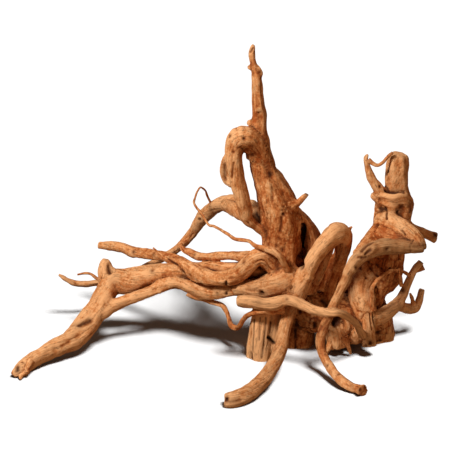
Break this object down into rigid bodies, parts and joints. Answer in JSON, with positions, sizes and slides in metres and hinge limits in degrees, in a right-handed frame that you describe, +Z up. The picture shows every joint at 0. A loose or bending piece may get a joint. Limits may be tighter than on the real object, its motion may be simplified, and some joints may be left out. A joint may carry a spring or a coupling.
{
  "type": "driftwood root",
  "caption": "Branching weathered tree root that stands on a sawn foot, with long arched roots to one side, a tall spike and a second trunk beside it.",
  "frame": {"origin": "middle of the sawn foot, on the surface that the root stands on", "axes": "+Z up, +X along the longest side, to the right as seen from the front, +Y to the back"},
  "size_m": [0.6494, 0.4643, 0.4819],
  "materials": {
    "bare_wood": "dry, weathered, matt"
  },
  "bodies": {
    "root": {"driftwood_root": "bare_wood"}
  },
  "joints": []
}
